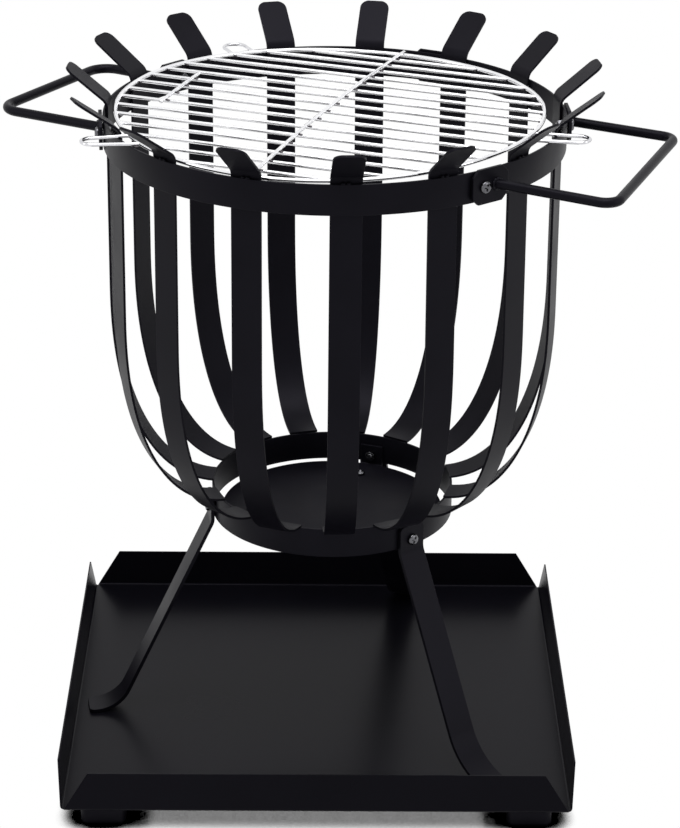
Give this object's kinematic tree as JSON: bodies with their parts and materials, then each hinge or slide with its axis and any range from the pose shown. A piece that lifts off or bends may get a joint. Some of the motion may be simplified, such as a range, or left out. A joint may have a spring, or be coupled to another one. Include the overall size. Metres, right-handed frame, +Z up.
{
  "type": "fire bowl",
  "caption": "Slatted steel fire basket on three strip legs in a square ash tray, with a wire grill grate and two rod handles.",
  "frame": {"origin": "on the basket's axis at the level of the ground under the tray's feet", "axes": "+Z up, +X towards the right handle as seen from the front, +Y towards the back"},
  "size_m": [0.5535, 0.438, 0.586],
  "materials": {
    "bracket_black_coat": "satin black powder coat on steel",
    "handle_black_coat": "satin black powder coat on steel",
    "hoop_black_coat": "satin black powder coat on steel",
    "leg_black_coat": "satin black powder coat on steel",
    "plate_black_coat": "satin black powder coat on steel",
    "slat_black_coat": "satin black powder coat on steel",
    "tray_black_coat": "satin black powder coat on steel",
    "tray_foot_black_coat": "satin black powder coat on steel",
    "grate_chrome": "bright chromed steel wire",
    "screw_zinc": "zinc plated steel",
    "nut_zinc": "zinc plated steel"
  },
  "bodies": {
    "tray": {"ash_tray": "tray_black_coat", "tray_foot_back_left": "tray_foot_black_coat", "tray_foot_back_right": "tray_foot_black_coat", "tray_foot_front_left": "tray_foot_black_coat", "tray_foot_front_right": "tray_foot_black_coat"},
    "basket": {"base_hoop": "hoop_black_coat", "base_plate": "plate_black_coat", "handle_left": "handle_black_coat", "handle_nut_left_back": "nut_zinc", "handle_nut_left_front": "nut_zinc", "handle_nut_right_back": "nut_zinc", "handle_nut_right_front": "nut_zinc", "handle_right": "handle_black_coat", "handle_screw_left_back": "screw_zinc", "handle_screw_left_front": "screw_zinc", "handle_screw_right_back": "screw_zinc", "handle_screw_right_front": "screw_zinc", "hoop_joint_plate": "hoop_black_coat", "leg_back": "leg_black_coat", "leg_front_right": "leg_black_coat", "leg_left": "leg_black_coat", "leg_nut_back": "nut_zinc", "leg_nut_front_right": "nut_zinc", "leg_nut_left": "nut_zinc", "leg_screw_back": "screw_zinc", "leg_screw_front_right": "screw_zinc", "leg_screw_left": "screw_zinc", "plate_bracket_back": "bracket_black_coat", "plate_bracket_front_right": "bracket_black_coat", "plate_bracket_left": "bracket_black_coat", "plate_nut_back": "nut_zinc", "plate_nut_front_right": "nut_zinc", "plate_nut_left": "nut_zinc", "plate_screw_back": "screw_zinc", "plate_screw_front_right": "screw_zinc", "plate_screw_left": "screw_zinc", "slat_01": "slat_black_coat", "slat_02": "slat_black_coat", "slat_03": "slat_black_coat", "slat_04": "slat_black_coat", "slat_05": "slat_black_coat", "slat_06": "slat_black_coat", "slat_07": "slat_black_coat", "slat_08": "slat_black_coat", "slat_09": "slat_black_coat", "slat_10": "slat_black_coat", "slat_11": "slat_black_coat", "slat_12": "slat_black_coat", "slat_13": "slat_black_coat", "slat_14": "slat_black_coat", "slat_15": "slat_black_coat", "top_hoop": "hoop_black_coat"},
    "grate": {"grate_bars": "grate_chrome", "grate_rest_back": "grate_chrome", "grate_rest_left": "grate_chrome", "grate_rest_right": "grate_chrome", "grate_rim": "grate_chrome"}
  },
  "joints": [
    {"name": "basket_lift", "type": "slide", "parent": "tray", "child": "basket", "axis": [0, 0, 1], "range_m": [0, 0.1]},
    {"name": "grate_lift", "type": "slide", "parent": "basket", "child": "grate", "axis": [0, 0, 1], "range_m": [0, 0.1]}
  ]
}
